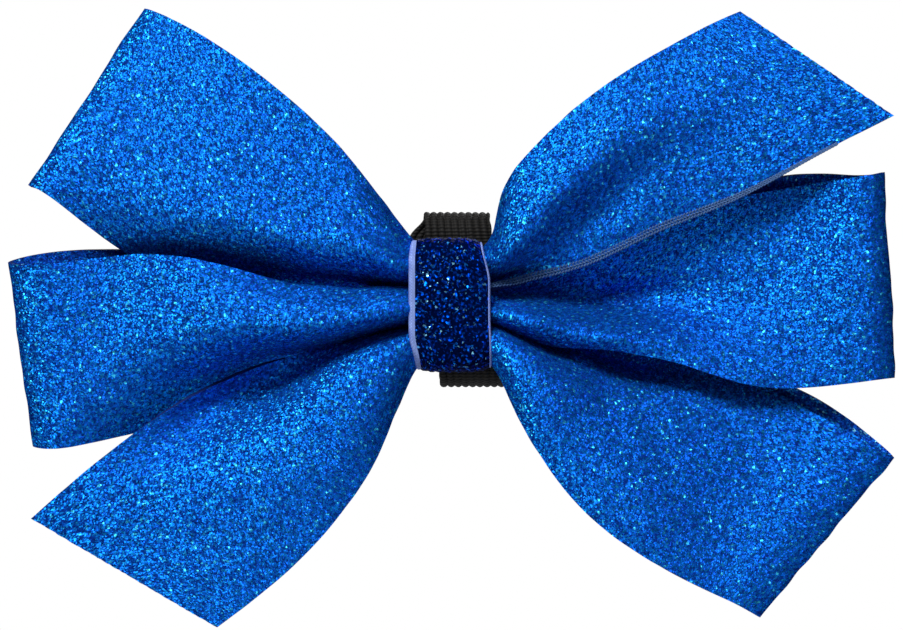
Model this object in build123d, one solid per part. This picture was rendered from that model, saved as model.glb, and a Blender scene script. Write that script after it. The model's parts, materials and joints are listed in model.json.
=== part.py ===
"""Six-petal hair bow: one velvet ribbon looped in a pinwheel, gathered, wrapped and put on an elastic.

Millimetres. Seen from the front +X is to the right; the front faces -Y and +Z is up. The origin is
where the knot's axis meets the rear face of the elastic's sewn run, which lies against the ponytail.
"""

from build123d import *
import math
import os

# ---- driving dimensions -------------------------------------------------------------------------
RIBBON_THICK = 1.1  # velvet ribbon with its pile
WRAP_WIDTH = 14.6  # narrower velvet ribbon round the waist
WRAP_HEIGHT = 24.2
WRAP_DEPTH = 12.0
WRAP_THICK = 1.0
GLUE_THICK = 0.3
ELASTIC_WIDTH = 12.3
ELASTIC_THICK = 1.0
ELASTIC_LENGTH = 31.6  # of the flattened loop, turns included
ELASTIC_DEPTH = 8.0  # front face of the sewn run to the rear face of the free run
ELASTIC_TILT = 6.0  # degrees, the top leans towards -X
ELASTIC_CENTRE = (2.9, 0.75)  # X and Z of the loop's middle
THREAD_RADIUS = 0.3
THREAD_BEND = 2.0  # radius of its centreline at the waist's corners

WAIST_HALF = (4.5, 4.3, 9.3)  # half sizes of the gathered waist along X, Y and Z
WAIST_PASSES = 5  # how often the ribbon crosses the waist
HINGE_X = 7.0  # where a petal bends, at the wrap's edge
ROOT_HALF = 1.5  # half thickness of a petal pinched at the waist
ROOT_TOP = 10.6  # half height of the mouth that the petals leave by
MOUTH_X = 9.0  # from here on a petal may be taller than the wrap's mouth

# ---- derived places -----------------------------------------------------------------------------
LAP_BACK = -2 * ELASTIC_THICK  # rear face of the wrap's lapped end
GLUE_BACK = LAP_BACK - WRAP_THICK
WRAP_BACK = GLUE_BACK - GLUE_THICK
WAIST_Y = WRAP_BACK - WRAP_DEPTH / 2
REACH = 70.0  # longer than half of any petal

os.makedirs("parts", exist_ok=True)


def save(shape, node):
    """Write one named sub-part."""
    export_step(shape, f"parts/{node}.step")


def column(root_x, root_low, root_high, upper, tip, lower):
    """The space inside a petal's front view: a root strip, two curved edges and the tip's corners."""
    side = math.copysign(1.0, root_x)
    start, end = (side * MOUTH_X, root_high), (side * MOUTH_X, root_low)
    with BuildSketch(Plane.XZ) as front:
        with BuildLine():
            Polyline(end, (root_x, root_low), (root_x, root_high), start)
            Spline(start, *upper, tip[0])
            Polyline(*tip)
            Spline(tip[-1], *lower, end)
        make_face()
    return extrude(front.sketch, amount=REACH, both=True)


def side_plane(angle):
    """A plane along a petal: its x runs outwards at this angle above +X, its y points forwards."""
    c, s = math.cos(math.radians(angle)), math.sin(math.radians(angle))
    return Plane(origin=(0, WAIST_Y, 0), x_dir=(c, 0, s), z_dir=(s, 0, -c))


def teardrop(start, end, half, lean, slope):
    """A closed face between two mirrored curves that part at start and meet in a round fold at end."""
    run = end - start[0]
    middle, outer = start[0] + 0.38 * run, start[0] + 0.78 * run
    with BuildSketch() as face:
        with BuildLine():
            upper = [(middle, lean + half), (outer, lean + 0.74 * half)]
            lower = [(outer, lean - 0.74 * half), (middle, lean - half)]
            Spline(start, *upper, (end, lean), tangents=[(1, slope), (0, -1)])
            Spline((end, lean), *lower, (start[0], -start[1]), tangents=[(0, -1), (-1, slope)])
            if start[1] > 0:
                Line((start[0], -start[1]), (start[0], start[1]))
        make_face()
    return face.sketch


def loop(column_solid, angle, end, half, lean):
    """A loop: a teardrop ring of ribbon, pinched at the waist and folded over at its outer end."""
    pinch_end, hollow_start = 11.0, 16.0
    outside = teardrop((pinch_end, ROOT_HALF), end, half, lean, 0.25)
    hollow = teardrop((hollow_start, 0.0), end - RIBBON_THICK, half - RIBBON_THICK, lean, 0.3)
    pinch = Pos(pinch_end / 2, 0) * Rectangle(pinch_end, 2 * ROOT_HALF)
    ring = side_plane(angle) * (outside + pinch - hollow)
    return extrude(ring, amount=REACH, both=True) & column_solid


def tail(column_solid, angle, end, rise, end_rise):
    """A tail: one layer of ribbon that springs forwards from the waist and ends in a slanting cut."""
    pinch_end, t = 11.0, RIBBON_THICK / 2
    middle = 0.5 * end
    with BuildSketch() as face:
        with BuildLine():
            Polyline((pinch_end, -ROOT_HALF), (0, -ROOT_HALF), (0, ROOT_HALF), (pinch_end, ROOT_HALF))
            outwards = [(pinch_end, ROOT_HALF), (middle, rise + t), (end, end_rise + t)]
            inwards = [(end, end_rise - t), (middle, rise - t), (pinch_end, -ROOT_HALF)]
            Spline(*outwards, tangents=[(1, 0.25), (1, -0.1)])
            Line(outwards[-1], inwards[0])
            Spline(*inwards, tangents=[(-1, 0.1), (-1, -0.1)])
        make_face()
    return extrude(side_plane(angle) * face.sketch, amount=REACH, both=True) & column_solid


def rolled_root(petal, side, low, high):
    """Round the inner end of a bending petal about the upright axis that it bends on."""
    root = Pos(side * HINGE_X, WAIST_Y, (low + high) / 2) * Cylinder(ROOT_HALF, high - low)
    return petal + root


def petals():
    """The six petals, each as wide in front view as the ribbon stands there."""
    upper_left = column(
        -HINGE_X,
        4.0,
        ROOT_TOP,
        [(-14.5, 21.5), (-25.0, 33.3), (-39.5, 45.0)],
        [(-54.6, 53.2), (-74.3, 20.8)],
        [(-62.0, 13.6), (-51.4, 10.2), (-36.0, 6.9), (-19.5, 4.4)],
    )
    middle_left = column(
        -WAIST_HALF[0],
        -3.2,
        3.2,
        [(-19.5, 3.4), (-36.0, 5.8), (-51.4, 9.0), (-64.0, 8.9)],
        [(-78.6, 8.5), (-74.3, -24.0), (-72.0, -26.1)],
        [(-64.3, -24.6), (-56.9, -21.8), (-43.5, -14.6), (-21.3, -6.5)],
    )
    lower_left = column(
        -HINGE_X,
        -ROOT_TOP,
        -4.0,
        [(-21.3, -7.2), (-43.5, -15.4), (-56.9, -23.3)],
        [(-74.3, -37.7), (-40.9, -56.6)],
        [(-32.3, -50.4), (-21.6, -39.9), (-13.2, -27.0)],
    )
    upper_right = column(
        HINGE_X,
        3.4,
        ROOT_TOP,
        [(12.6, 24.5), (21.4, 34.0), (35.7, 44.0)],
        [(51.9, 52.2), (78.6, 33.8)],
        [(60.6, 25.8), (41.0, 17.8), (26.8, 10.2), (16.0, 5.4)],
    )
    middle_right = column(
        WAIST_HALF[0],
        -2.2,
        2.6,
        [(16.0, 4.6), (26.8, 9.4), (41.0, 17.0), (54.4, 21.6), (65.0, 23.8)],
        [(77.5, 23.7), (79.3, -13.0)],
        [(64.0, -14.2), (49.9, -13.7), (33.9, -8.9), (20.0, -4.8)],
    )
    lower_right = column(
        HINGE_X,
        -ROOT_TOP,
        -3.0,
        [(20.0, -5.6), (33.9, -9.7), (49.9, -14.5), (66.0, -18.5)],
        [(78.9, -27.9), (54.4, -55.0)],
        [(42.8, -49.2), (25.0, -37.6), (13.6, -22.5)],
    )

    upper_left = loop(upper_left, 148.7, 74.2, 4.8, -2.0)
    lower_left = tail(lower_left, 217.8, 86.0, 6.0, 4.0)
    upper_right = tail(upper_right, 31.8, 86.0, 7.0, 6.0)
    lower_right = loop(lower_right, -42.0, 77.3, 4.8, -2.0)
    save(rolled_root(upper_left, -1, 4.0, ROOT_TOP), "loop_upper_left")
    save(loop(middle_left, 188.0, 76.6, 5.2, 0.0), "loop_middle_left")
    save(rolled_root(lower_left, -1, -ROOT_TOP, -4.0), "tail_lower_left")
    save(rolled_root(upper_right, 1, 3.4, ROOT_TOP), "tail_upper_right")
    save(loop(middle_right, 2.8, 78.6, 5.2, 0.0), "loop_middle_right")
    save(rolled_root(lower_right, 1, -ROOT_TOP, -3.0), "loop_lower_right")


def waist():
    """The gathered waist: the ribbon's passes, pleated lengthways and stacked front to back."""
    half_x, half_y, half_z = WAIST_HALF
    pleats, wave = 7, 0.28
    thick = 0.9
    pitch = 2 * (half_y - wave - thick / 2) / (WAIST_PASSES - 1)
    points = 4 * pleats + 1
    corner = THREAD_BEND - THREAD_RADIUS
    plane = Plane(origin=(0, WAIST_Y, 0), x_dir=(0, 1, 0), z_dir=(1, 0, 0))
    room = plane * RectangleRounded(2 * half_y, 2 * half_z, corner)
    inside_thread = extrude(room, amount=half_x, both=True)
    passes = []
    for i in range(WAIST_PASSES):
        middle = WAIST_Y + (i - (WAIST_PASSES - 1) / 2) * pitch
        shares = [k / (points - 1) for k in range(points)]
        crests = [(middle + wave * math.sin(2 * math.pi * pleats * s), (2 * s - 1) * half_z) for s in shares]
        with BuildSketch(Plane.YZ) as pleated:
            with BuildLine():
                Spline(*[(y - thick / 2, z) for y, z in crests])
                Line((crests[-1][0] - thick / 2, half_z), (crests[-1][0] + thick / 2, half_z))
                Spline(*[(y + thick / 2, z) for y, z in reversed(crests)])
                Line((crests[0][0] + thick / 2, -half_z), (crests[0][0] - thick / 2, -half_z))
            make_face()
        passes.append((extrude(pleated.sketch, amount=half_x, both=True) & inside_thread).solid())
    save(Compound(children=passes), "gathered_waist")


def thread():
    """Three turns of thread that pinch the waist, and their knot at the top."""
    half_y, half_z = WAIST_HALF[1] + THREAD_RADIUS, WAIST_HALF[2] + THREAD_RADIUS
    turns = []
    for x in (-3 * THREAD_RADIUS, 0, 3 * THREAD_RADIUS):
        plane = Plane(origin=(x, WAIST_Y, 0), x_dir=(0, 1, 0), z_dir=(1, 0, 0))
        path = (plane * RectangleRounded(2 * half_y, 2 * half_z, THREAD_BEND)).wire()
        section = Plane(origin=path @ 0, z_dir=path % 0) * Circle(THREAD_RADIUS)
        turns.append(sweep(section, path=path).solid())
    save(Compound(children=turns), "gathering_thread")

    knot_radius = 0.55
    knot = Pos(0, WAIST_Y, WAIST_HALF[2] + 2 * THREAD_RADIUS + knot_radius) * Sphere(knot_radius)
    save(knot, "thread_knot")


def knot_wrap():
    """The narrow ribbon round the waist: a closed band, its lapped end and the glue between them."""
    plane = Plane(origin=(0, WAIST_Y, 0), x_dir=(0, 1, 0), z_dir=(1, 0, 0))
    corner = 5.0
    outside = RectangleRounded(WRAP_DEPTH, WRAP_HEIGHT, corner)
    room_depth, room_height = WRAP_DEPTH - 2 * WRAP_THICK, WRAP_HEIGHT - 2 * WRAP_THICK
    inside = RectangleRounded(room_depth, room_height, corner - WRAP_THICK)
    save(extrude(plane * (outside - inside), amount=WRAP_WIDTH / 2, both=True), "knot_wrap")

    lap_height, glue_height = 13.8, 12.4
    lap = Box(WRAP_WIDTH, WRAP_THICK, lap_height)
    lap = fillet(lap.edges().filter_by(Axis.X).sort_by(Axis.Y)[-2:], 0.4)
    save(Pos(0, LAP_BACK - WRAP_THICK / 2, 0) * lap, "knot_wrap_lapped_end")
    glue = Box(0.8 * WRAP_WIDTH, GLUE_THICK, glue_height)
    save(Pos(0, GLUE_BACK - GLUE_THICK / 2, 0) * glue, "knot_wrap_glue")


def elastic():
    """The flat elastic loop: a run sewn to the wrap, two turns and a free run, with its lap and seams."""
    place = Pos(ELASTIC_CENTRE[0], 0, ELASTIC_CENTRE[1]) * Rot(0, -ELASTIC_TILT, 0)
    outer = ELASTIC_DEPTH / 2
    straight = ELASTIC_LENGTH - 2 * outer
    middle_y = outer - ELASTIC_THICK
    sewn_run = place * Pos(0, -ELASTIC_THICK / 2, 0) * Box(ELASTIC_WIDTH, ELASTIC_THICK, straight)
    free_run = Pos(0, ELASTIC_DEPTH - ELASTIC_THICK, 0) * sewn_run

    long, wide, deep, sunk = 2.2, 0.5, 0.35, 0.03
    stitch = Box(wide, deep, long)
    stitch = fillet(stitch.edges().filter_by(Axis.Z).sort_by(Axis.Y)[:2], 0.15)
    groove = Box(wide, deep + 2 * sunk, long)
    seams = {"elastic_join_stitches": (3.6, 5, 2.2, 25.0), "elastic_tack_stitches": (8.6, 4, 2.8, 0.0)}
    for node, (height, count, pitch, slant) in seams.items():
        made = []
        for row in (-height, height):
            for k in range(count):
                x = (k - (count - 1) / 2) * pitch
                lean = slant if k % 2 else -slant
                spot = place * Pos(x, -sunk - deep / 2, row) * Rot(0, lean, 0)
                made.append((spot * stitch).solid())
                sewn_run -= spot * groove
        save(Compound(children=made), node)
    save(sewn_run, "elastic_sewn_run")
    save(free_run, "elastic_free_run")

    ring = Cylinder(outer, ELASTIC_WIDTH) - Cylinder(outer - ELASTIC_THICK, ELASTIC_WIDTH)
    ring = Rot(0, 90, 0) * ring
    upper_half = ring & Pos(0, 0, outer) * Box(2 * ELASTIC_WIDTH, 3 * outer, 2 * outer)
    save(place * Pos(0, middle_y, straight / 2) * upper_half, "elastic_top_turn")
    lower_half = Rot(180, 0, 0) * upper_half
    save(place * Pos(0, middle_y, -straight / 2) * lower_half, "elastic_bottom_turn")

    lap = Box(ELASTIC_WIDTH, ELASTIC_THICK, 11.0)
    save(place * Pos(0, -1.5 * ELASTIC_THICK, -ELASTIC_CENTRE[1]) * lap, "elastic_lapped_end")


petals()
waist()
thread()
knot_wrap()
elastic()
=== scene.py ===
"""The looks of a six-petal glitter velvet hair bow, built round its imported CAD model.

Petals are described by their front view in millimetres, X to the right and Z up from the knot's
axis, and by how far each point stands forward of the waist's middle. Everything is then put in
the frame's metres. No part of the CAD model is moved.
"""

import json
import math

import bmesh
import bpy
import numpy as np
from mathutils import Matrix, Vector


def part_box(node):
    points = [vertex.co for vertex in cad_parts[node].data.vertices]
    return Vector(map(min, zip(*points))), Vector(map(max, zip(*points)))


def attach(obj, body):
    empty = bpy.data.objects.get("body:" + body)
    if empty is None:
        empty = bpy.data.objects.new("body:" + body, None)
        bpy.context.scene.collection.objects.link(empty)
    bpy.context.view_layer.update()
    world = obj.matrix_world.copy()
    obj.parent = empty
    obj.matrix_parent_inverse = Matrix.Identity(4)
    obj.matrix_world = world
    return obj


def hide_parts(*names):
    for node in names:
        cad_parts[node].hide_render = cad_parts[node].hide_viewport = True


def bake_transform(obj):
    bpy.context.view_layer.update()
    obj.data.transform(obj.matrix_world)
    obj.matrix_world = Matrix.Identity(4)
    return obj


MM = 0.001
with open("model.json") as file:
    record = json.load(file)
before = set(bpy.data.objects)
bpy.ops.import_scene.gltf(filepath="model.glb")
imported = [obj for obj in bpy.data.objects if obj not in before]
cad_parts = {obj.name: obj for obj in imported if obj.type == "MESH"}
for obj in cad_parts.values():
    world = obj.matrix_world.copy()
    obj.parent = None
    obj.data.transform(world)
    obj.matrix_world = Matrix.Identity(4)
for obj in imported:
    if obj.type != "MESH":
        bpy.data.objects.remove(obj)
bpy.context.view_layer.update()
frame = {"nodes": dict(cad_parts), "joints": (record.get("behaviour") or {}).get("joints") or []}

# ---- places read from the frame -----------------------------------------------------------------
JOINTS = {joint["name"]: joint for joint in frame["joints"]}
HINGE = Vector(JOINTS["upper_right_tail_flex"]["pos_m"])
WAIST_Y = HINGE.y
WRAP_LOW, WRAP_HIGH = (Vector(p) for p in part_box("knot_wrap"))
RUN_LOW, RUN_HIGH = (Vector(p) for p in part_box("elastic_sewn_run"))
FREE_LOW, FREE_HIGH = (Vector(p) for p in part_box("elastic_free_run"))
TURN_HIGH = Vector(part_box("elastic_top_turn")[1])
TURN_LOW = Vector(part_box("elastic_bottom_turn")[0])

# ---- sizes in millimetres -----------------------------------------------------------------------
RIBBON_WIDTH = 38.1
RIBBON_THICK = 0.7
STEP = 0.62  # size of the petals' mesh cells
ACROSS = 8  # control points from a ribbon's top border to its bottom border
REVERSE_UV = 500.0  # how far along the cloth the reverse's pattern starts after the face's


# ---- camera and light ---------------------------------------------------------------------------
def make_camera():
    """A long lens level with the knot, framed as wide as the photograph.

    The picture's middle is a little right of the knot's axis and below it. Across is the width that
    is framed in a plane just before the petals.
    """
    across, lens, sensor = 160.7 * MM, 200.0, 36.0
    aside, before, below = 0.35 * MM, 6.0 * MM, 1.8 * MM
    data = bpy.data.cameras.new("camera")
    data.lens, data.sensor_width = lens, sensor
    data.clip_start, data.clip_end = 0.01, 50.0
    camera = bpy.data.objects.new("camera", data)
    bpy.context.collection.objects.link(camera)
    camera.location = (aside, WAIST_Y - before - across * lens / sensor, -below)
    camera.rotation_euler = (math.radians(90), 0, 0)
    bpy.context.scene.camera = camera


def area_light(name, place, size, power, colour=(1, 1, 1)):
    """A soft square lamp that faces the knot."""
    data = bpy.data.lights.new(name, "AREA")
    data.size, data.energy, data.color = size, power, colour
    lamp = bpy.data.objects.new(name, data)
    bpy.context.collection.objects.link(lamp)
    lamp.location = place
    lamp.rotation_euler = Vector(place).to_track_quat("Z", "Y").to_euler()


def make_stage():
    """A white studio: a pale floor below the hung bow, soft lamps, and a dim surround seen as white."""
    world = bpy.data.worlds.new("studio")
    bpy.context.scene.world = world
    world.use_nodes = True
    nodes, links = world.node_tree.nodes, world.node_tree.links
    surround = nodes["Background"]
    surround.inputs["Color"].default_value = (0.8, 0.9, 1.0, 1)
    surround.inputs["Strength"].default_value = 0.05
    seen = nodes.new("ShaderNodeBackground")
    seen.inputs["Strength"].default_value = 1.0
    seen.inputs["Color"].default_value = (1, 1, 1, 1)
    path, mix = nodes.new("ShaderNodeLightPath"), nodes.new("ShaderNodeMixShader")
    links.new(path.outputs["Is Camera Ray"], mix.inputs[0])
    links.new(surround.outputs[0], mix.inputs[1])
    links.new(seen.outputs[0], mix.inputs[2])
    links.new(mix.outputs[0], nodes["World Output"].inputs["Surface"])

    bpy.ops.mesh.primitive_circle_add(vertices=96, radius=0.62, fill_type="NGON", location=(0, 0, -0.3))
    floor = bpy.context.object
    floor.name = "floor"
    pale = bpy.data.materials.new("pale_floor")
    pale.use_nodes = True
    shader = pale.node_tree.nodes["Principled BSDF"]
    shader.inputs["Base Color"].default_value = (0.8, 0.8, 0.8, 1)
    shader.inputs["Roughness"].default_value = 0.9
    floor.data.materials.append(pale)

    area_light("key", (-0.24, -0.6, 0.71), 0.3, 16.0)
    area_light("front", (0.15, -1.0, 0.5), 0.4, 1.4, (0.86, 0.93, 1.0))
    area_light("back", (0.2, 0.8, 0.5), 0.6, 4.0)
    bpy.context.scene.view_settings.view_transform = "Standard"


# ---- curves and sheets --------------------------------------------------------------------------
def spline(knots, values, where):
    """A natural cubic spline through values at knots, read at where. Values may have many columns."""
    knots, values = np.asarray(knots, float), np.asarray(values, float)
    n = len(knots)
    h = np.diff(knots)
    shape = (n - 1,) + (1,) * (values.ndim - 1)
    slope = np.diff(values, axis=0) / h.reshape(shape)
    system, right = np.zeros((n, n)), np.zeros_like(values)
    system[0, 0] = system[-1, -1] = 1.0
    for i in range(1, n - 1):
        system[i, i - 1 : i + 2] = h[i - 1], 2 * (h[i - 1] + h[i]), h[i]
        right[i] = 6 * (slope[i] - slope[i - 1])
    bend = np.linalg.solve(system, right.reshape(n, -1)).reshape(values.shape)
    where = np.asarray(where, float)
    i = np.clip(np.searchsorted(knots, where, side="right") - 1, 0, n - 2)
    column = (len(where),) + (1,) * (values.ndim - 1)
    left, gap = (where - knots[i]).reshape(column), h[i].reshape(column)
    rest = gap - left
    return (
        bend[i] * rest**3 / (6 * gap)
        + bend[i + 1] * left**3 / (6 * gap)
        + (values[i] / gap - bend[i] * gap / 6) * rest
        + (values[i + 1] / gap - bend[i + 1] * gap / 6) * left
    )


def stations_to_points(stations):
    """Control points, one row per station.

    A station is its top and bottom in front view, the depths spread evenly between them, and how
    far the ribbon's top and bottom borders turn back behind the outline.
    """
    half, full_curl = ACROSS // 2, 3.0
    even = np.linspace(0, 1, ACROSS)
    turned = np.array([0.12, 0.0, 0.16, 0.38, 0.62, 0.84, 1.0, 0.88])
    rows = []
    for top, bottom, depths, *curls in stations:
        depths = np.atleast_1d(np.asarray(depths, float))
        high, low = curls[0] if curls else (0.0, 0.0)
        share = np.array([min(1.0, high / full_curl)] * half + [min(1.0, low / full_curl)] * half)
        t = even + (turned - even) * share
        # The outermost points stay on the outline whatever the curl.
        t[:half] = 0.5 - (0.5 - t[:half]) * 0.5 / (0.5 - t[:half].min())
        t[half:] = 0.5 + (t[half:] - 0.5) * 0.5 / (t[half:].max() - 0.5)
        x = top[0] + (bottom[0] - top[0]) * t
        z = top[1] + (bottom[1] - top[1]) * t
        if len(depths) > 1:
            forward = spline(np.linspace(0, 1, len(depths)), depths, t)
            forward[0] += (forward[1] - forward[0]) * share[0] - high
            forward[-1] += (forward[-2] - forward[-1]) * share[-1] - low
        else:
            forward = np.full(ACROSS, depths[0])
        rows.append(np.stack([x, -forward, z], axis=1))
    return np.array(rows)


def sheet_points(controls):
    """A fine even grid of points on the smooth sheet through a coarse grid of control points."""
    middle = controls[:, ACROSS // 2 - 1 : ACROSS // 2 + 1].mean(axis=1)
    along = np.concatenate([[0], np.cumsum(np.linalg.norm(np.diff(middle, axis=0), axis=1))])
    rows = int(round(along[-1] / STEP))
    columns = int(round(RIBBON_WIDTH / STEP))
    lengthways = spline(along, controls, np.linspace(0, along[-1], rows + 1))
    t = np.linspace(0, 1, ACROSS)
    across = spline(t, lengthways.transpose(1, 0, 2), np.linspace(0, 1, columns + 1))
    return across.transpose(1, 0, 2)


def waves(points, seed, size, wavelength):
    """Small smooth rises and dips over a sheet, made of a few slanting waves."""
    count = 9
    draw = np.random.default_rng(seed)
    total = np.zeros(points.shape[:2])
    for _ in range(count):
        way = draw.normal(size=2)
        way *= 2 * math.pi / (wavelength * draw.uniform(0.7, 1.6) * np.linalg.norm(way))
        total += np.sin(points[..., 0] * way[0] + points[..., 2] * way[1] + draw.uniform(0, 6.3))
    return size * total / math.sqrt(count)


def normals(points):
    """Unit normals of a grid of points."""
    along, across = np.gradient(points, axis=0), np.gradient(points, axis=1)
    n = np.cross(along, across)
    return n / np.maximum(np.linalg.norm(n, axis=2, keepdims=True), 1e-12)


def surface_distances(points):
    """Distances in millimetres along the sheet and across it from its middle line, at each point."""
    along = np.linalg.norm(np.diff(points, axis=0), axis=2).mean(axis=1)
    u = np.concatenate([[0], np.cumsum(along)])
    steps = np.linalg.norm(np.diff(points, axis=1), axis=2)
    across = np.concatenate([np.zeros((len(points), 1)), np.cumsum(steps, axis=1)], axis=1)
    v = across - across[:, -1:] / 2
    return np.broadcast_to(u[:, None], v.shape), v


def face_outwards(mesh):
    """Turn the normals of a closed mesh outwards."""
    shape = bmesh.new()
    shape.from_mesh(mesh)
    bmesh.ops.recalc_face_normals(shape, faces=shape.faces)
    shape.to_mesh(mesh)
    shape.free()
    mesh.update()


def add_mesh(name, points, faces, materials, face_slots, uv=None, sharp=50.0):
    """A new object from points in millimetres, with smooth faces and one UV pair per point.

    face_slots says which of the materials each face has. Edges stay sharp above an angle of sharp.
    """
    mesh = bpy.data.meshes.new(name)
    mesh.from_pydata((np.asarray(points) * MM).tolist(), [], faces)
    for material in materials:
        mesh.materials.append(material)
    mesh.polygons.foreach_set("material_index", np.asarray(face_slots, np.int32))
    mesh.polygons.foreach_set("use_smooth", np.ones(len(faces), bool))
    if uv is not None:
        corners = np.zeros(len(mesh.loops), np.int32)
        mesh.loops.foreach_get("vertex_index", corners)
        layer = mesh.uv_layers.new(name="cloth_mm")
        layer.data.foreach_set("uv", np.asarray(uv, np.float32)[corners].ravel())
    face_outwards(mesh)
    mesh.set_sharp_from_angle(angle=math.radians(sharp))
    piece = bpy.data.objects.new(name, mesh)
    bpy.context.collection.objects.link(piece)
    return piece


def thick_sheet(name, points, thick, materials):
    """A sheet with two faces and a rim.

    The materials are for the face, the reverse, the long edges and the cut ends.
    """
    face_slot, reverse_slot, border_slot, end_slot = range(4)
    rows, columns = points.shape[:2]
    n = normals(points)
    u, v = surface_distances(points)
    count = rows * columns
    face, reverse = points + n * thick / 2, points - n * thick / 2
    both = np.concatenate([face.reshape(-1, 3), reverse.reshape(-1, 3)])
    index = np.arange(count).reshape(rows, columns)
    faces, slots = [], []

    def quads(a, b, c, d, slot):
        made = np.stack([a.ravel(), b.ravel(), c.ravel(), d.ravel()], axis=1).tolist()
        faces.extend(made)
        slots.extend([slot] * len(made))

    a, b, c, d = index[:-1, :-1], index[1:, :-1], index[1:, 1:], index[:-1, 1:]
    quads(a, b, c, d, face_slot)
    quads(d + count, c + count, b + count, a + count, reverse_slot)
    for border in (index[:, 0], index[::-1, -1]):
        low, high = border[:-1], border[1:]
        quads(high, low, low + count, high + count, border_slot)
    for end in (index[0], index[-1, ::-1]):
        low, high = end[:-1], end[1:]
        quads(low, high, high + count, low + count, end_slot)
    uv = np.stack([u.ravel(), v.ravel()], axis=1)
    uv = np.concatenate([uv, uv + (REVERSE_UV, 0.0)])
    return add_mesh(name, both, faces, materials, slots, uv)


# ---- materials ----------------------------------------------------------------------------------
def shader_of(name):
    """A new material, its node tree and its shader."""
    material = bpy.data.materials.new(name)
    material.use_nodes = True
    tree = material.node_tree
    return material, tree, tree.nodes["Principled BSDF"]


def ramp(tree, source, stops):
    """A colour ramp over a 0 to 1 value."""
    node = tree.nodes.new("ShaderNodeValToRGB")
    elements = node.color_ramp.elements
    while len(elements) < len(stops):
        elements.new(0.5)
    for element, (place, colour) in zip(elements, stops):
        element.position, element.color = place, (*colour, 1)
    tree.links.new(source, node.inputs[0])
    return node.outputs[0]


def maths(tree, operation, a, b):
    """A sum on two sockets or numbers."""
    node = tree.nodes.new("ShaderNodeMath")
    node.operation = operation
    for socket, value in zip(node.inputs, (a, b)):
        if isinstance(value, (int, float)):
            socket.default_value = value
        else:
            tree.links.new(value, socket)
    return node.outputs[0]


def vector_maths(tree, operation, a, b=None, scale=None):
    """A sum on one or two vectors."""
    node = tree.nodes.new("ShaderNodeVectorMath")
    node.operation = operation
    for socket, value in zip(node.inputs, (a, b)):
        if value is None:
            continue
        if isinstance(value, tuple):
            socket.default_value = value
        else:
            tree.links.new(value, socket)
    if scale is not None:
        node.inputs["Scale"].default_value = scale
    return node.outputs[0]


def mix_colour(tree, factor, a, b, mode="MIX"):
    """A mix of two colours, each a socket or three numbers."""
    node = tree.nodes.new("ShaderNodeMix")
    node.data_type, node.blend_type = "RGBA", mode
    factor_socket, a_socket, b_socket = node.inputs[0], node.inputs[6], node.inputs[7]
    for socket, value in ((factor_socket, factor), (a_socket, a), (b_socket, b)):
        if isinstance(value, (int, float)):
            socket.default_value = value
        elif isinstance(value, tuple):
            socket.default_value = (*value, 1)
        else:
            tree.links.new(value, socket)
    return node.outputs[2]


def cells(tree, coordinates, size):
    """Random cells of about this size in millimetres: their colour, and its three parts."""
    node = tree.nodes.new("ShaderNodeTexVoronoi")
    node.voronoi_dimensions = "2D"
    node.inputs["Scale"].default_value = 1 / size
    tree.links.new(coordinates, node.inputs["Vector"])
    parts = tree.nodes.new("ShaderNodeSeparateColor")
    tree.links.new(node.outputs["Color"], parts.inputs[0])
    return node.outputs["Color"], parts.outputs


def cloudy(tree, coordinates, size, detail=3.0, dimensions="2D"):
    """Soft noise, 0 to 1, with clouds of about this size in millimetres."""
    node = tree.nodes.new("ShaderNodeTexNoise")
    node.noise_dimensions = dimensions
    node.inputs["Scale"].default_value = 1 / size
    node.inputs["Detail"].default_value = detail
    tree.links.new(coordinates, node.inputs["Vector"])
    return node.outputs["Fac"]


def cloth_coordinates(tree):
    """Millimetres along and across the cloth."""
    node = tree.nodes.new("ShaderNodeUVMap")
    node.uv_map = "cloth_mm"
    return node.outputs[0]


def own_coordinates(tree):
    """Millimetres in the piece's own axes."""
    place = tree.nodes.new("ShaderNodeTexCoord").outputs["Object"]
    return vector_maths(tree, "SCALE", place, scale=1 / MM)


def relief(tree, shader, height, strength, depth):
    """Bump the shader's surface by a height of 0 to 1, depth in millimetres."""
    bump = tree.nodes.new("ShaderNodeBump")
    bump.inputs["Strength"].default_value = strength
    bump.inputs["Distance"].default_value = depth * MM
    tree.links.new(height, bump.inputs["Height"])
    tree.links.new(bump.outputs[0], shader.inputs["Normal"])


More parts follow.
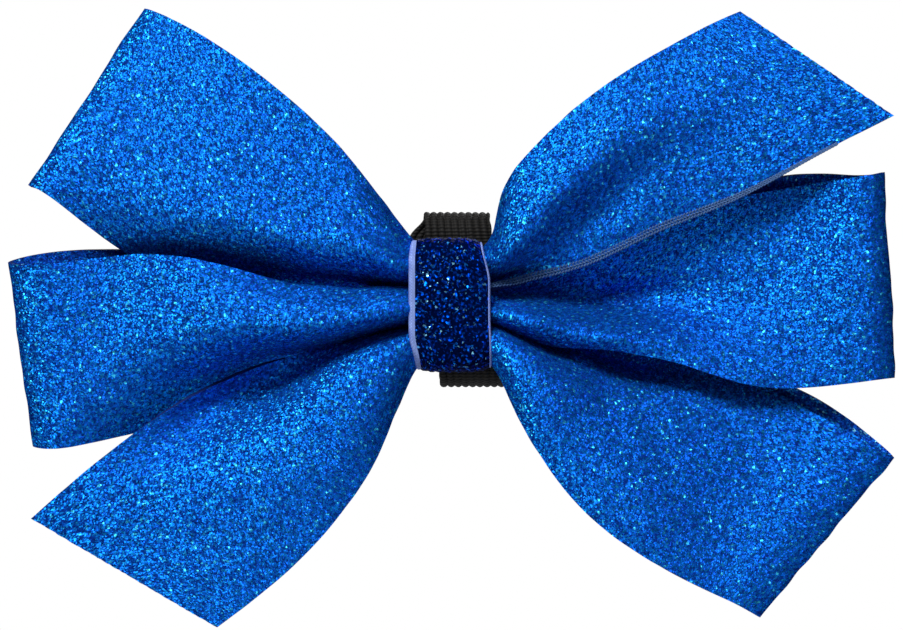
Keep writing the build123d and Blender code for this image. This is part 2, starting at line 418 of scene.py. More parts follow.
def glitter(name, stops, *, flake, tilt, metal, rough, velvet, gaps_at, grain):
    """Velvet pile full of small flakes, each with its own slant and shade, and dark pile between.

    flake and grain are the sizes in millimetres of a flake and of a patch of bare pile, and
    gaps_at sets how much pile is bare. velvet is the pile's colour.
    """
    spark, spark_from, ragged, wear = 0.42, 0.975, 0.42, 9.0
    material, tree, shader = shader_of(name)
    place = cloth_coordinates(tree)
    colour, chances = cells(tree, place, flake)
    shade = ramp(tree, chances[0], stops)
    _, large_chances = cells(tree, place, spark)
    lucky = maths(tree, "GREATER_THAN", large_chances[0], spark_from)
    shade = mix_colour(tree, lucky, shade, stops[-1][1])
    patches = cloudy(tree, place, grain, 2.0)
    clumps = cloudy(tree, place, 1.3 * grain)
    clumps = ramp(tree, clumps, [(0.36, (0.5, 0.5, 0.5)), (0.62, (1, 1, 1))])
    shade = mix_colour(tree, 1.0, shade, clumps, "MULTIPLY")
    bare = maths(tree, "ADD", maths(tree, "MULTIPLY", chances[1], ragged), patches)
    bare = ramp(tree, bare, [(gaps_at - 0.05, (1, 1, 1)), (gaps_at + 0.05, (0, 0, 0))])
    worn = cloudy(tree, place, wear, 2.0)
    pile = mix_colour(tree, worn, tuple(0.7 * c for c in velvet), tuple(1.3 * c for c in velvet))
    shade = mix_colour(tree, bare, shade, pile)
    tree.links.new(shade, shader.inputs["Base Color"])
    slant = vector_maths(tree, "SUBTRACT", colour, (0.5, 0.5, 0.5))
    slant = vector_maths(tree, "SCALE", slant, scale=2 * tilt)
    geometry = tree.nodes.new("ShaderNodeNewGeometry")
    facing = vector_maths(tree, "ADD", geometry.outputs["Normal"], slant)
    facing = vector_maths(tree, "NORMALIZE", facing)
    tree.links.new(facing, shader.inputs["Normal"])
    metal_here = maths(tree, "MULTIPLY", maths(tree, "SUBTRACT", 1.0, bare), metal)
    tree.links.new(metal_here, shader.inputs["Metallic"])
    shader.inputs["Roughness"].default_value = rough
    shader.inputs["Specular IOR Level"].default_value = 0.1
    shader.inputs["Specular Tint"].default_value = (0.0, 0.04, 0.22, 1)
    shader.inputs["IOR"].default_value = 1.1
    return material


def border_cloth(name, far, dark_thread_and_knot_shade):
    """The ribbon's long edges: blue thread, darkened by painted shade towards the gathered knot."""
    fold_at = 75.0  # how far along the cloth the loops turn back
    material, tree, shader = shader_of(name)
    place = cloth_coordinates(tree)
    parts = tree.nodes.new("ShaderNodeSeparateXYZ")
    tree.links.new(place, parts.inputs[0])
    reach = maths(tree, "MODULO", parts.outputs[0], REVERSE_UV)
    reach = maths(tree, "PINGPONG", reach, fold_at)
    reach = maths(tree, "DIVIDE", reach, fold_at)
    # Painted shade: the edges stay dark out from the knot and turn blue only towards the loops' far
    # ends.
    reach = ramp(tree, reach, [(0.62, (0, 0, 0)), (0.8, (1, 1, 1))])
    wave = tree.nodes.new("ShaderNodeTexWave")
    wave.inputs["Scale"].default_value = 0.8
    tree.links.new(place, wave.inputs["Vector"])
    shade = mix_colour(tree, reach, dark_thread_and_knot_shade, far)
    shade = mix_colour(tree, maths(tree, "MULTIPLY", wave.outputs["Fac"], 0.5), shade, dark_thread_and_knot_shade)
    tree.links.new(shade, shader.inputs["Base Color"])
    shader.inputs["Roughness"].default_value = 0.85
    shader.inputs["Specular IOR Level"].default_value = 0.1
    return material


def woven(name, light, dark, pitch, rough=0.65, sheen=0.3, own_place=False):
    """A plain close weave with a little variation, in the piece's own axes or along its cloth."""
    material, tree, shader = shader_of(name)
    place = own_coordinates(tree) if own_place else cloth_coordinates(tree)
    stretched = vector_maths(tree, "SCALE", place, scale=1 / pitch)
    checker = tree.nodes.new("ShaderNodeTexChecker")
    checker.inputs["Scale"].default_value = 1.0
    tree.links.new(stretched, checker.inputs["Vector"])
    cloud = cloudy(tree, place, 2.5, 3.0, "3D")
    base = mix_colour(tree, cloud, dark, light)
    shaded = mix_colour(tree, maths(tree, "MULTIPLY", checker.outputs["Fac"], 0.35), base, (0, 0, 0))
    tree.links.new(shaded, shader.inputs["Base Color"])
    relief(tree, shader, checker.outputs["Fac"], 0.5, 0.08)
    shader.inputs["Roughness"].default_value = rough
    shader.inputs["Sheen Weight"].default_value = sheen
    return material


def elastic_cloth(name):
    """Black covered rubber: short floats across each rib, faint brown threads, their tops a painted
    highlight.
    """
    material, tree, shader = shader_of(name)
    place = cloth_coordinates(tree)
    wave = tree.nodes.new("ShaderNodeTexWave")
    wave.wave_type, wave.bands_direction = "BANDS", "X"
    wave.inputs["Scale"].default_value = 0.55
    wave.inputs["Distortion"].default_value = 1.6
    wave.inputs["Detail"].default_value = 2.0
    tree.links.new(place, wave.inputs["Vector"])
    fuzz = cloudy(tree, place, 0.3, 4.0)
    height = maths(tree, "ADD", wave.outputs["Fac"], maths(tree, "MULTIPLY", fuzz, 0.6))
    black, brown, painted_highlight = (0.0004, 0.0004, 0.0004), (0.0022, 0.0019, 0.0016), (0.007, 0.006, 0.005)
    # The highest parts of the threads get a lighter colour, a painted highlight.
    shade = ramp(tree, height, [(0.2, black), (0.8, brown), (1.0, painted_highlight)])
    tree.links.new(shade, shader.inputs["Base Color"])
    relief(tree, shader, height, 0.7, 0.1)
    shader.inputs["Roughness"].default_value = 0.7
    shader.inputs["Specular IOR Level"].default_value = 0.18
    return material


def yarn(name, light, dark, turn, rough):
    """Twisted thread: fine slanting bands along the piece."""
    material, tree, shader = shader_of(name)
    place = own_coordinates(tree)
    wave = tree.nodes.new("ShaderNodeTexWave")
    wave.wave_type, wave.bands_direction = "BANDS", "DIAGONAL"
    wave.inputs["Scale"].default_value = 1 / turn
    wave.inputs["Distortion"].default_value = 0.6
    tree.links.new(place, wave.inputs["Vector"])
    tree.links.new(mix_colour(tree, wave.outputs["Fac"], dark, light), shader.inputs["Base Color"])
    relief(tree, shader, wave.outputs["Fac"], 0.6, 0.05)
    shader.inputs["Roughness"].default_value = rough
    return material


def clear_glue(name):
    """Set hot glue: cloudy, yellowish and slightly lumpy."""
    material, tree, shader = shader_of(name)
    lumps = cloudy(tree, own_coordinates(tree), 1.8, 3.0, "3D")
    shade = mix_colour(tree, lumps, (0.5, 0.46, 0.36), (0.74, 0.71, 0.6))
    tree.links.new(shade, shader.inputs["Base Color"])
    relief(tree, shader, lumps, 1.0, 0.2)
    shader.inputs["Roughness"].default_value = 0.3
    shader.inputs["Transmission Weight"].default_value = 0.3
    return material


# The flakes' colours, from the dullest to the brightest, each with the share that is duller.
BLUE_STOPS = [
    (0.0, (0.003, 0.03, 0.3)),
    (0.3, (0.004, 0.1, 0.62)),
    (0.7, (0.005, 0.2, 0.92)),
    (0.96, (0.01, 0.4, 1.0)),
    (1.0, (0.05, 0.62, 1.0)),
]
INSIDE_STOPS = [
    (0.0, (0.003, 0.03, 0.3)),
    (0.4, (0.004, 0.06, 0.5)),
    (0.8, (0.005, 0.14, 0.8)),
    (0.97, (0.02, 0.4, 1.0)),
    (1.0, (0.2, 0.7, 1.0)),
]
NAVY_STOPS = [
    (0.0, (0.0, 0.004, 0.05)),
    (0.4, (0.0, 0.02, 0.24)),
    (0.8, (0.0, 0.07, 0.65)),
    (0.97, (0.01, 0.25, 0.95)),
    (1.0, (0.25, 0.7, 1.0)),
]
ribbon_face = glitter(
    "ribbon_glitter",
    BLUE_STOPS,
    flake=0.22,
    tilt=0.48,
    metal=0.92,
    rough=0.52,
    velvet=(0.002, 0.018, 0.16),
    gaps_at=0.58,
    grain=0.8,
)
ribbon_back = glitter(
    "ribbon_inside",
    INSIDE_STOPS,
    flake=0.24,
    tilt=0.45,
    metal=0.25,
    rough=0.5,
    velvet=(0.004, 0.02, 0.16),
    gaps_at=0.6,
    grain=0.75,
)
# The second colour is painted shade towards the knot, and also the colour of the thread's faint dark
# bands.
ribbon_edge = border_cloth("ribbon_selvedge_painted_shade", (0.006, 0.03, 0.2), (0.001, 0.004, 0.04))
ribbon_cut = woven("ribbon_cut_edge", (0.045, 0.02, 0.12), (0.012, 0.006, 0.05), 0.3)
RIBBON = [ribbon_face, ribbon_back, ribbon_edge, ribbon_cut]
wrap_face = glitter(
    "knot_glitter",
    NAVY_STOPS,
    flake=0.36,
    tilt=0.4,
    metal=0.9,
    rough=0.36,
    velvet=(0.0, 0.002, 0.022),
    gaps_at=0.8,
    grain=0.6,
)
wrap_edge = woven("knot_selvedge", (0.3, 0.42, 0.8), (0.06, 0.1, 0.4), 0.28, 0.8, 0.0)
braid_cloth = woven("braided_selvedge", (0.05, 0.14, 0.34), (0.012, 0.05, 0.18), 0.25, 0.7, 0.0, True)
elastic_black = elastic_cloth("elastic_black")
black_thread = yarn("black_sewing_thread", (0.03, 0.028, 0.027), (0.006, 0.006, 0.006), 0.5, 0.5)
blue_thread = yarn("blue_binding_thread", (0.03, 0.1, 0.45), (0.006, 0.03, 0.2), 0.5, 0.45)


# ---- petals -------------------------------------------------------------------------------------
# Each station runs across the ribbon: its top edge, its bottom edge, the depths between them, and
# near the waist how far the two borders turn back. Stations follow the ribbon out from the waist.
UPPER_LEFT = [
    ((-5.0, 9.6), (-5.0, 3.8), (-0.6, 1.4, 2.8, 3.4, 3.6, 2.8, 0.4, -2.8), (1.8, 2.4)),
    ((-7.4, 12.2), (-7.4, 2.9), (0.0, 2.2, 3.8, 4.6, 5.0, 4.4, 0.4, -4.4), (0.8, 2.6)),
    ((-11.5, 17.8), (-13.5, 2.2), (2.0, 3.6, 4.8, 5.8, 6.8, 6.2, -1.2, -7.4), (0.0, 2.0)),
    ((-18.5, 26.8), (-24.0, 1.8), (3.0, 3.9, 4.7, 5.6, 6.6, 6.8, -0.8, -8.0), (0.0, 0.8)),
    ((-28.7, 36.9), (-37.0, 3.0), (2.4, 3.0, 3.9, 4.9, 6.0, 6.6, 0.4, -6.4)),
    ((-41.0, 46.2), (-52.0, 6.6), (0.4, 1.4, 2.5, 3.7, 4.9, 5.8, 3.6, -2.4)),
    ((-50.0, 51.4), (-66.0, 15.3), (-3.4, -1.8, -0.2, 1.4, 3.0, 4.4, 5.0, 3.6)),
    ((-54.3, 53.2), (-74.1, 20.9), (-6.4, -4.6, -2.8, -1.0, 0.8, 2.5, 3.8, 4.2)),
    ((-55.0, 53.5), (-74.8, 21.1), (-7.4, -5.6, -3.8, -2.0, -0.2, 1.5, 2.8, 3.2)),
]
MIDDLE_LEFT = [
    ((-5.0, 2.2), (-5.0, -2.8), (0.5, 2.4, 3.6, 4.2, 4.2, 3.0, 0.4, -3.0), (2.6, 2.0)),
    ((-7.5, 2.7), (-7.5, -4.0), (0.6, 3.2, 4.8, 5.6, 5.6, 3.8, -0.6, -4.6), (3.4, 1.6)),
    ((-15.0, 2.9), (-15.0, -6.8), (1.8, 4.8, 6.8, 8.0, 8.0, 5.2, -1.8, -6.6), (3.0, 1.0)),
    ((-26.3, 3.1), (-25.5, -10.4), (3.8, 6.0, 7.8, 8.8, 8.2, 3.2, -4.4, -8.6), (1.6, 0.2)),
    ((-38.5, 6.4), (-37.0, -15.0), (5.2, 6.4, 7.6, 8.4, 7.4, 2.0, -4.4, -8.0)),
    ((-52.2, 9.0), (-50.0, -20.8), (4.6, 5.1, 5.7, 6.2, 5.8, 3.2, -1.2, -4.8)),
    ((-64.5, 8.1), (-62.0, -24.1), (3.2, 3.5, 3.8, 4.0, 4.1, 3.8, 2.8, 1.2)),
    ((-77.8, 7.3), (-73.3, -25.5), 2.6),
    ((-78.8, 7.6), (-74.2, -25.2), 1.4),
]
LOWER_LEFT = [
    ((-5.0, -3.4), (-5.0, -9.2), (-1.6, 1.6, 3.2, 3.4, 3.2, 2.6, 1.8, 0.8), (1.0, 0.8)),
    ((-7.4, -3.9), (-6.6, -12.0), (-2.4, 2.6, 4.6, 5.0, 4.8, 4.2, 3.2, 1.6), (0.6, 0.6)),
    ((-14.5, -5.5), (-9.5, -18.6), (-2.0, 3.6, 6.6, 7.2, 7.3, 6.9, 5.8, 4.2), (0.0, 0.2)),
    ((-24.5, -8.1), (-13.2, -27.4), (-1.6, 1.6, 6.8, 8.5, 8.9, 8.8, 8.0, 6.4)),
    ((-37.0, -12.0), (-19.6, -37.4), (-1.0, -2.8, 4.6, 8.2, 9.1, 9.2, 8.8, 8.0)),
    ((-49.5, -18.2), (-27.6, -46.2), (1.8, 0.6, 5.4, 8.2, 9.1, 9.3, 9.2, 8.8)),
    ((-60.8, -26.4), (-35.0, -52.5), (4.6, 5.4, 6.8, 7.8, 8.4, 8.8, 9.0, 9.0)),
    ((-74.6, -38.1), (-41.2, -57.2), (4.0, 5.0, 6.0, 6.8, 7.5, 8.1, 8.5, 8.8)),
]
UPPER_RIGHT = [
    ((5.0, 9.6), (5.0, 3.2), (0.6, 2.0, 3.2, 2.6, 0.2, -0.8, -0.6, 2.0), (1.6, 0.4)),
    ((7.4, 12.0), (7.6, 3.0), (1.0, 3.4, 4.8, 5.2, 4.6, 1.6, -2.4, 3.0), (1.0, 0.4)),
    ((9.6, 19.6), (15.0, 4.6), (3.0, 5.0, 6.5, 7.6, 7.6, 4.2, 0.6, 1.2), (0.2, 0.0)),
    ((16.5, 29.5), (25.5, 7.8), (4.2, 5.8, 7.4, 8.0, 5.2, 2.6, 2.2, 1.4)),
    ((28.6, 39.7), (38.0, 13.6), (4.4, 5.8, 7.0, 6.8, 4.6, 3.8, 3.6, 2.8)),
    ((39.2, 46.1), (52.0, 19.4), (3.4, 4.3, 5.2, 5.8, 5.5, 5.4, 5.4, 5.0)),
    ((46.4, 49.9), (66.0, 27.0), (3.2, 4.0, 4.8, 5.4, 5.9, 6.3, 6.7, 7.0)),
    ((51.9, 52.3), (78.9, 33.6), (2.8, 3.7, 4.6, 5.4, 6.2, 6.9, 7.5, 8.0)),
]
MIDDLE_RIGHT = [
    ((5.0, 1.8), (5.0, -2.2), (-2.0, -1.0, 0.2, 1.8, 3.2, 3.6, 2.6, 0.8), (2.0, 2.2)),
    ((7.5, 2.4), (7.5, -3.0), (-3.0, -2.2, -0.6, 2.0, 4.4, 5.0, 3.8, 1.0), (2.0, 2.2)),
    ((15.0, 6.2), (14.0, -5.8), (-3.6, -4.2, -4.0, -1.8, 2.8, 6.8, 6.2, 1.4), (1.2, 1.4)),
    ((27.0, 10.6), (26.0, -7.8), (-1.6, -3.0, -4.4, -5.2, -4.6, 1.6, 6.4, 4.0), (0.2, 0.4)),
    ((41.4, 16.8), (40.0, -10.2), (0.2, -1.0, -2.2, -3.4, -4.2, -0.8, 3.8, 4.8)),
    ((54.0, 19.8), (53.0, -14.2), (0.8, 0.0, -0.6, -1.0, -0.6, 1.8, 4.0, 4.5)),
    ((66.0, 21.8), (67.0, -14.5), (1.2, 1.5, 2.0, 2.5, 3.1, 3.6, 4.0, 4.1)),
    ((76.4, 23.5), (78.3, -13.1), 3.4),
    ((77.3, 23.7), (79.3, -13.0), 2.4),
]
LOWER_RIGHT = [
    ((5.0, -2.8), (5.0, -8.6), (-1.4, 0.8, 2.6, 3.6, 3.8, 3.4, 2.4, 1.0), (1.0, 0.8)),
    ((7.5, -2.6), (7.4, -10.3), (-2.6, 1.2, 3.8, 5.0, 5.2, 4.8, 3.8, 2.0), (1.2, 0.6)),
    ((14.0, -4.2), (10.6, -15.6), (-3.6, -0.8, 5.0, 7.3, 7.8, 7.8, 6.8, 5.0)),
    ((25.5, -5.6), (15.6, -25.6), (-4.6, -3.6, 2.8, 6.8, 8.2, 8.6, 8.4, 7.2)),
    ((39.0, -8.2), (25.2, -37.8), (-4.0, -2.4, 2.4, 5.2, 7.0, 8.3, 9.0, 8.6)),
    ((52.0, -12.6), (37.5, -46.5), (-1.6, 0.4, 2.6, 4.4, 5.9, 7.3, 8.3, 8.6)),
    ((66.0, -19.8), (47.5, -51.6), (1.0, 2.0, 3.2, 4.4, 5.5, 6.4, 7.2, 7.6)),
    ((78.5, -26.8), (54.0, -54.9), (2.4, 3.2, 4.0, 4.8, 5.6, 6.3, 6.9, 7.2)),
    ((79.3, -27.2), (54.9, -55.4), (1.8, 2.6, 3.4, 4.2, 5.0, 5.7, 6.3, 6.6)),
]


# How far a loop's rear run bulges backwards at most, and the share of it at each station.
LOOP_BULGE = 5.5
LOOP_SWELL = (0.45, 0.6, 0.78, 0.92, 1.0, 0.92, 0.6, 0.05)


def back_layer(stations, shifts):
    """The return run of a loop: behind the front run, bulging backwards and shifted to one side.

    shifts holds the (x, z) shift at the last four stations before the fold, growing from none at
    the waist.
    """
    gap_at_fold, least_gap = 1.3, 1.2
    front, fold = stations[:-1], stations[-1]
    behind = []
    across = 0.4 + 0.6 * np.sin(math.pi * np.linspace(0, 1, ACROSS)) ** 0.7
    for i, (top, bottom, depths, *_) in enumerate(front):
        line = i / len(front) * np.asarray(fold[2]) - gap_at_fold
        bulge = LOOP_BULGE * LOOP_SWELL[i] * across
        depth = np.minimum(line - bulge, np.asarray(depths) - least_gap)
        dx, dz = (np.interp(i, (0, 4, 5, 6, 7), (0, *side)) for side in zip(*shifts))
        moved = [(x + dx, z + dz) for x, z in (top, bottom)]
        behind.append((*moved, depth))
    return behind[::-1]


# Low, close unevenness and higher, wider unevenness: height and wavelength.
UNEVENNESS = ((0.07, 6.0), (0.16, 19.0))


def finish_points(points, seed):
    """Put a petal's points in the frame's place, with the slight unevenness of real cloth."""
    for i, (height, wavelength) in enumerate(UNEVENNESS):
        points = points + normals(points) * waves(points, seed + i, height, wavelength)[..., None]
    return points + (0, WAIST_Y / MM, 0)


def ragged_end(points, seed):
    """Make a cut end slightly uneven, as scissors leave a pile fabric."""
    size = 0.07
    draw = np.random.default_rng(seed)
    way = points[-1] - points[-2]
    way /= np.linalg.norm(way, axis=1, keepdims=True)
    points[-1] += way * draw.uniform(-size, size, len(way))[:, None]
    return points


def blend_at_waist(piece):
    """Bake a piece's place into its mesh; the piece gets no bend at the waist."""
    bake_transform(piece)


def petal(node, points, body):
    """Add one petal in place of its hidden CAD part, attached to the bow or with its place baked in."""
    right = points[:, :, 0].mean() > 0
    if right:
        points = points[:, ::-1]
    piece = thick_sheet("ribbon_" + node, points, RIBBON_THICK, RIBBON)
    if body == "bow":
        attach(piece, "bow")
    else:
        blend_at_waist(piece)
    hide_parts(node)
    with_pieces = [make_braid(points)] if node == "tail_upper_right" else []


# Stations, body, shifts of the rear run, and the length of ribbon in the petal.
LOOPS = {
    "loop_upper_left": (
        UPPER_LEFT,
        "upper_left_petal",
        ((0, 0), (0, 0), (-0.1, 0.2), (0, 0.1)),
        150,
    ),
    "loop_middle_left": (
        MIDDLE_LEFT,
        "bow",
        ((0, 0), (0, 0.4), (0.2, 1.8), (0.1, 0.9)),
        150,
    ),
    "loop_middle_right": (
        MIDDLE_RIGHT,
        "bow",
        ((0, 1.4), (0, 2.2), (0, 1.7), (0, 0)),
        155,
    ),
    "loop_lower_right": (
        LOWER_RIGHT,
        "lower_right_petal",
        ((0.3, 0.5), (0.6, 1.2), (1.0, 2.4), (-0.2, 0.8)),
        156,
    ),
}
TAILS = {
    "tail_lower_left": (LOWER_LEFT, "lower_left_petal", 76),
    "tail_upper_right": (UPPER_RIGHT, "upper_right_petal", 73),
}


def make_petals():
    """The four loops, then the two tails with their cut ends."""
    for i, (node, (stations, body, shifts, length)) in enumerate(LOOPS.items()):
        points = sheet_points(stations_to_points(stations + back_layer(stations, shifts)))
        petal(node, finish_points(points, 10 * i), body)
    for i, (node, (stations, body, length)) in enumerate(TAILS.items()):
        points = sheet_points(stations_to_points(stations))
        points = finish_points(points, 100 + 10 * i)
        petal(node, ragged_end(points, 5 + i), body)


# ---- selvedge, knot, elastic and stitches --------------------------------------------------------
def smooth(x, low, high):
    """0 below low, 1 above high, and a smooth step between."""
    t = np.clip((np.asarray(x, float) - low) / (high - low), 0, 1)
    return t * t * (3 - 2 * t)


def arc(centre_y, centre_z, radius, start, end):
    """Points (y, z) on an arc, its angles in degrees from +Y towards +Z."""
    turn = np.radians(np.linspace(start, end, 16))
    return np.stack([centre_y + radius * np.cos(turn), centre_z + radius * np.sin(turn)], axis=1)


def even_path(stretches, step):
    """Join stretches of (y, z) points into one path of evenly spaced points."""
    points = np.concatenate([np.atleast_2d(np.asarray(s, float)) for s in stretches])
    along = np.concatenate([[0], np.cumsum(np.linalg.norm(np.diff(points, axis=0), axis=1))])
    keep = np.concatenate([[True], np.diff(along) > 1e-6])
    points, along = points[keep], along[keep]
    wanted = np.linspace(0, along[-1], int(round(along[-1] / step)) + 1)
    return np.stack([np.interp(wanted, along, points[:, k]) for k in range(2)], axis=1)


def sweep_band(name, path, profile, profile_slots, materials, shape):
    """Sweep a closed (x, outwards) profile along a (y, z) path and cap both ends.

    shape moves the swept points to their final place. Returns the object and the path's length.
    """
    way = np.gradient(path, axis=0)
    way /= np.linalg.norm(way, axis=1, keepdims=True)
    out = np.stack([way[:, 1], -way[:, 0]], axis=1)
    rows, columns = len(path), len(profile)
    x = np.broadcast_to(profile[:, 0], (rows, columns))
    y = path[:, :1] + out[:, :1] * profile[:, 1]
    z = path[:, 1:] + out[:, 1:] * profile[:, 1]
    run = np.concatenate([[0], np.cumsum(np.linalg.norm(np.diff(path, axis=0), axis=1))])
    points = np.stack(shape(x, y, z), axis=2).reshape(-1, 3)
    index = np.arange(rows * columns).reshape(rows, columns)
    after = np.roll(index, -1, axis=1)
    faces = np.stack([index[:-1], after[:-1], after[1:], index[1:]], axis=2).reshape(-1, 4).tolist()
    slots = list(profile_slots) * (rows - 1) + [profile_slots[0]] * 2
    faces += [index[0][::-1].tolist(), index[-1].tolist()]
    around = np.concatenate([[0], np.cumsum(np.linalg.norm(np.diff(profile, axis=0), axis=1))])
    uv = np.stack(np.broadcast_arrays(run[:, None], around[None, :]), axis=2).reshape(-1, 2)
    return add_mesh(name, points, faces, materials, slots, uv, 60), run[-1]


def wrap_profile():
    """The knot ribbon's section: pile with faint cords, a fat selvedge on the left and a thin one."""
    left, right = WRAP_LOW.x / MM, WRAP_HIGH.x / MM
    half_thick, fat_radius, thin_radius = 0.42, 0.58, 0.27
    pile = np.linspace(left + 1.15, right - 0.4, 60)
    cords = 0.07 * np.cos(2 * math.pi * pile / 1.9) + 0.03 * np.cos(2 * math.pi * pile / 0.83)
    face = np.stack([pile, half_thick + cords], axis=1)
    turn = np.radians(np.linspace(90, -90, 9))
    thin_x = right - thin_radius + thin_radius * np.cos(turn)
    thin = np.stack([thin_x, 0.08 + half_thick * np.sin(turn)], axis=1)
    back = np.stack([np.linspace(right - 0.8, left + 1.6, 24), np.full(24, -half_thick)], axis=1)
    turn = np.radians(np.linspace(-90, -270, 15))
    fat_x = left + fat_radius + fat_radius * np.cos(turn)
    fat = np.stack([fat_x, 0.12 + 0.56 * np.sin(turn)], axis=1)
    glitter_slot, selvedge_slot, reverse_slot = range(3)
    slots = [glitter_slot] * (len(face) - 1) + [selvedge_slot] * (len(thin) + 1)
    slots += [reverse_slot] * (len(back) - 1) + [selvedge_slot] * (len(fat) + 1)
    return np.concatenate([face, thin, back, fat]), slots


def wrap_shape(x, y, z):
    """Draw the band in where the loops press its front corners, and let its face swell slightly."""
    middle, half_width = WAIST_Y / MM, (WRAP_HIGH.x - WRAP_LOW.x) / 2 / MM
    left = 1.1 * smooth(-z, 5.0, 12.0) + 0.25 * smooth(z, 8.5, 12.0)
    right = 1.4 * smooth(z, 4.0, 12.5) - 0.25 * smooth(-z, 2.0, 9.0)
    crown = 1 - 0.085 * np.abs(x / half_width) ** 5
    z, y = z * crown, middle + (y - middle) * (0.35 + 0.65 * crown)
    x = x + left * smooth(-x, 0, half_width) - right * smooth(x, 0, half_width)
    front = smooth(middle - y, 2.0, 6.0)
    dome = np.cos(np.clip(z / 12, -1, 1) * math.pi / 2) * np.cos(np.clip(x / 8, -1, 1) * math.pi / 2)
    creases = np.sin(2.3 * x + 0.5 * z) * np.sin(1.1 * z + 1.0)
    return x, y - front * (0.5 * dome + 0.08 * creases), z


def make_wrap():
    """The narrow ribbon once round the waist, its end lapped over its start at the back."""
    middle, corner, inset = WAIST_Y / MM, 4.6, 0.5
    half_y = (WRAP_HIGH.y - WRAP_LOW.y) / 2 / MM - inset
    half_z = (WRAP_HIGH.z - WRAP_LOW.z) / 2 / MM - inset
    lap_low, lap_high = (Vector(p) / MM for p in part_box("knot_wrap_lapped_end"))
    lap_y, back_y = (lap_low.y + lap_high.y) / 2, middle + half_y
    inner_y, inner_z = half_y - corner, half_z - corner
    path = even_path(
        [
            (back_y, lap_low.z + 1.6),
            arc(middle + inner_y, inner_z, corner, 0, 90),
            arc(middle - inner_y, inner_z, corner, 90, 180),
            arc(middle - inner_y, -inner_z, corner, 180, 270),
            arc(middle + inner_y, -inner_z, corner, 270, 355),
            (back_y + 0.25, lap_low.z - 0.2),
            (lap_y - 0.2, lap_low.z + 1.3),
            [(lap_y, lap_low.z + 2.2), (lap_y, lap_high.z)],
        ],
        0.36,
    )
    profile, slots = wrap_profile()
    materials = [wrap_face, wrap_edge, ribbon_back]
    wrap, length = sweep_band("ribbon_knot_wrap", path, profile, slots, materials, wrap_shape)
    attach(wrap, "bow")
    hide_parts("knot_wrap", "knot_wrap_lapped_end")


# The elastic loop leans a little, so it is made upright round its own middle and then turned.
ELASTIC_LEAN = math.radians(6.0)
ELASTIC_WIDTH = 12.3
ELASTIC_MIDDLE = Vector(((RUN_LOW.x + RUN_HIGH.x) / 2, 0, (RUN_LOW.z + RUN_HIGH.z) / 2)) / MM


def lean(x, y, z):
    """Turn points of the upright elastic to the place where it is sewn on."""
    c, s = math.cos(ELASTIC_LEAN), math.sin(ELASTIC_LEAN)
    return ELASTIC_MIDDLE.x + x * c - z * s, y, ELASTIC_MIDDLE.z + x * s + z * c


def elastic_shape(x, y, z):
    """Splay the hidden run to the left just under the top turn, and make each edge slightly uneven."""
    free = smooth(y, 2.0, 6.0)
    drift = -3.2 * free * smooth(z, -14.0, 6.0) * (1 - smooth(z, 11.0, 15.0))
    level = -x * math.tan(ELASTIC_LEAN) * smooth(np.abs(z), 6.0, 13.0) + 0.5 * smooth(z, 8.0, 14.0)
    z, x = z + level, x * (1 - 0.03 * smooth(z, 9.0, 14.0))
    wobble = 0.08 * np.sin(2.1 * z + 0.7 * y) * np.sign(x) * smooth(np.abs(x), 5.0, 6.0)
    return lean(x + drift + wobble, y, z)


def elastic_profile():
    """The strip's section: rounded ribs on both faces, thinning at the two edges."""
    ribs, half = 9.5, ELASTIC_WIDTH / 2
    a = np.linspace(-half, half, 78)
    rounded = np.abs(np.cos(math.pi * (a + half) * ribs / ELASTIC_WIDTH + math.pi / 2)) ** 0.7
    ridge = (0.12 + 0.36 * rounded) * smooth(half - np.abs(a) + 0.12, -0.1, 0.35)
    return np.concatenate([np.stack([a, ridge], axis=1), np.stack([a[::-1], -ridge[::-1]], axis=1)])


def make_elastic():
    """One ribbed strip sewn into a loop: lapped at the front, free at the back."""
    profile = elastic_profile()
    front, rear = (RUN_LOW.y + RUN_HIGH.y) / 2 / MM, (FREE_LOW.y + FREE_HIGH.y) / 2 / MM
    lap_low, lap_high = (Vector(p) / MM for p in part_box("elastic_lapped_end"))
    lap_y, half_lap = (lap_low.y + lap_high.y) / 2, 5.4
    radius, middle = (rear - front) / 2, (rear + front) / 2
    raised_level, leaning_edge = 0.5, 0.65
    half_height = (TURN_HIGH.z - TURN_LOW.z) / 2 / MM / math.cos(ELASTIC_LEAN)
    straight = half_height - radius - raised_level - leaning_edge
    path = even_path(
        [
            (front, -half_lap + 0.3),
            arc(middle, straight, radius, 180, 0),
            arc(middle, -straight, radius, 0, -180),
            [(front, -half_lap - 2.2), (lap_y, -half_lap - 0.6), (lap_y, half_lap - 1.0)],
        ],
        0.34,
    )
    slots = [0] * len(profile)
    strip, length = sweep_band("elastic_loop", path, profile, slots, [elastic_black], elastic_shape)
    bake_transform(strip)
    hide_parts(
        "elastic_lapped_end",
        "elastic_sewn_run",
        "elastic_free_run",
        "elastic_top_turn",
        "elastic_bottom_turn",
    )


def bead():
    """A small round-ended bead of unit size lying along X: its points and its faces."""
    sides = 8
    ring = np.radians(np.arange(sides) * 360 / sides)
    levels = np.radians([-62, -25, 25, 62])
    points = [(-1, 0, 0)]
    for level in levels:
        along, out = math.sin(level), math.cos(level)
        points += [(along, out * math.cos(r), out * math.sin(r)) for r in ring]
    points.append((1, 0, 0))
    faces = []
    for i in range(len(levels) - 1):
        low, high = 1 + sides * i, 1 + sides * (i + 1)
        for j in range(sides):
            k = (j + 1) % sides
            faces.append((low + j, low + k, high + k, high + j))
    last, tip = 1 + sides * (len(levels) - 1), len(points) - 1
    for j in range(sides):
        k = (j + 1) % sides
        faces += [(0, 1 + k, 1 + j), (tip, last + j, last + k)]
    return np.array(points), faces


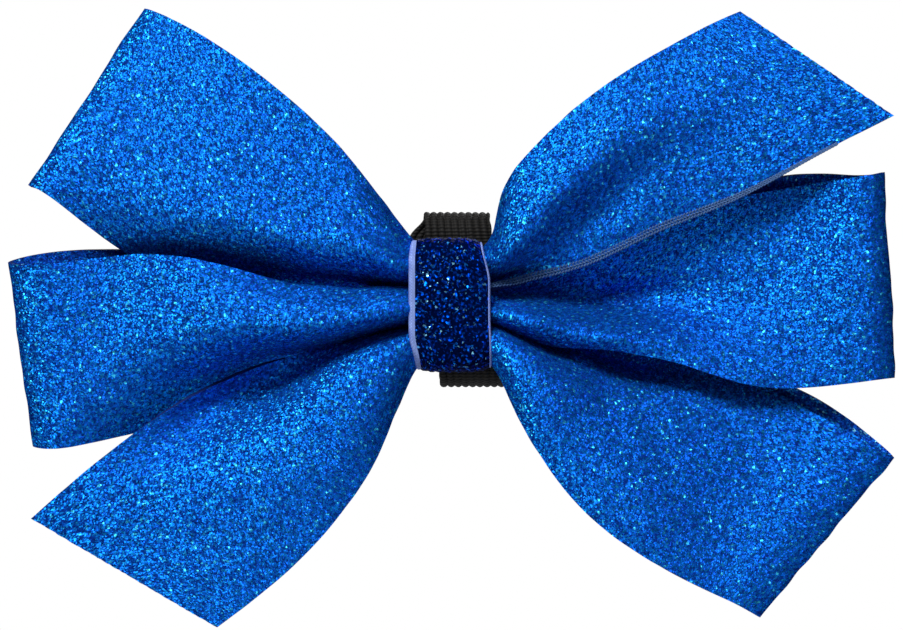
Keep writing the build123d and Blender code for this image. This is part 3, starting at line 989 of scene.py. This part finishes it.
def beads(places, ways, ups, size):
    """Small rounded stitches in one mesh. size is each one's half length, half width and half height."""
    ball, ball_faces = bead()
    points, faces = [], []
    for place, way, up in zip(places, ways, ups):
        axes = np.array([way, np.cross(up, way), up])
        first = len(points) * len(ball)
        points.append(place + (ball * size) @ axes)
        faces += [tuple(first + k for k in face) for face in ball_faces]
    return np.concatenate(points), faces


def unit(v):
    """Vectors of length one, from the last axis of v."""
    return v / np.maximum(np.linalg.norm(v, axis=-1, keepdims=True), 1e-12)


def make_braid(points):
    """The plaited selvedge turned forward along the upper right tail's lower border."""
    stitch, start, ends_at = 0.6, 2.6, 0.86
    border, inside = points[:, 0], points[:, 3]
    along = np.concatenate([[0], np.cumsum(np.linalg.norm(np.diff(border, axis=0), axis=1))])
    wanted = np.arange(start, ends_at * along[-1], stitch)
    at = np.stack([np.interp(wanted, along, border[:, k]) for k in range(3)], axis=1)
    inward = np.stack([np.interp(wanted, along, (inside - border)[:, k]) for k in range(3)], axis=1)
    way = unit(np.gradient(at, axis=0))
    inward = unit(inward * (1, 0.25, 1))
    up = unit(np.cross(way, inward))
    up *= np.sign(-up[:, 1:2])
    narrow = 1 - 0.7 * smooth(wanted, 0.4 * along[-1], ends_at * along[-1])[:, None]
    rows = []
    # Each row of the plait: how far in from the border it lies, and its stitches' slant.
    for row, slant in ((-0.1, 0.6), (0.42, -0.6), (0.94, 0.6)):
        place = at + inward * row * narrow + up * 0.5
        rows.append((place, unit(way + slant * inward * narrow), up))
    places, ways, ups = (np.concatenate(k) for k in zip(*rows))
    made, faces = beads(places, ways, ups, (0.4, 0.17, 0.16))
    braid = add_mesh("braided_selvedge", made, faces, [braid_cloth], [0] * len(faces))
    blend_at_waist(braid)
    return braid


def make_stitches():
    """The two crossed seams that join the elastic's ends, and the two rows that tack it to the knot."""
    # Height of the rows above and below the middle, stitches in a row, their pitch and their slant.
    seams = {"elastic_join_stitches": (3.6, 5, 2.2, 25.0), "elastic_tack_stitches": (8.6, 4, 2.8, 0.0)}
    for node, (height, count, pitch, slant) in seams.items():
        places, ways = [], []
        for row in (-height, height):
            for k in range(count):
                angle = math.radians(slant if k % 2 else -slant)
                places.append(lean((k - (count - 1) / 2) * pitch, RUN_HIGH.y / MM - 0.1, row))
                tip = lean(math.sin(angle), 0, math.cos(angle))
                ways.append((tip[0] - ELASTIC_MIDDLE.x, 0, tip[2] - ELASTIC_MIDDLE.z))
        ups = np.tile((0.0, 1.0, 0.0), (len(places), 1))
        made, faces = beads(np.array(places), np.array(ways), ups, (1.15, 0.26, 0.24))
        stitches = add_mesh("thread_" + node, made, faces, [black_thread], [0] * len(faces))
        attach(stitches, "bow")
        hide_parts(node)


def finish_cad_nodes():
    """Give the CAD nodes that stay in sight their materials."""
    light, dark = (0.004, 0.06, 0.45), (0.001, 0.015, 0.14)
    looks = {
        "gathered_waist": woven("gathered_ribbon", light, dark, 0.3, 0.5, 0.4, True),
        "gathering_thread": blue_thread,
        "thread_knot": blue_thread,
        "knot_wrap_glue": clear_glue("set_glue"),
    }
    for node, material in looks.items():
        slots = frame["nodes"][node].data.materials
        for i in range(len(slots)):
            slots[i] = material


make_camera()
make_stage()
make_petals()
make_wrap()
make_elastic()
make_stitches()
finish_cad_nodes()
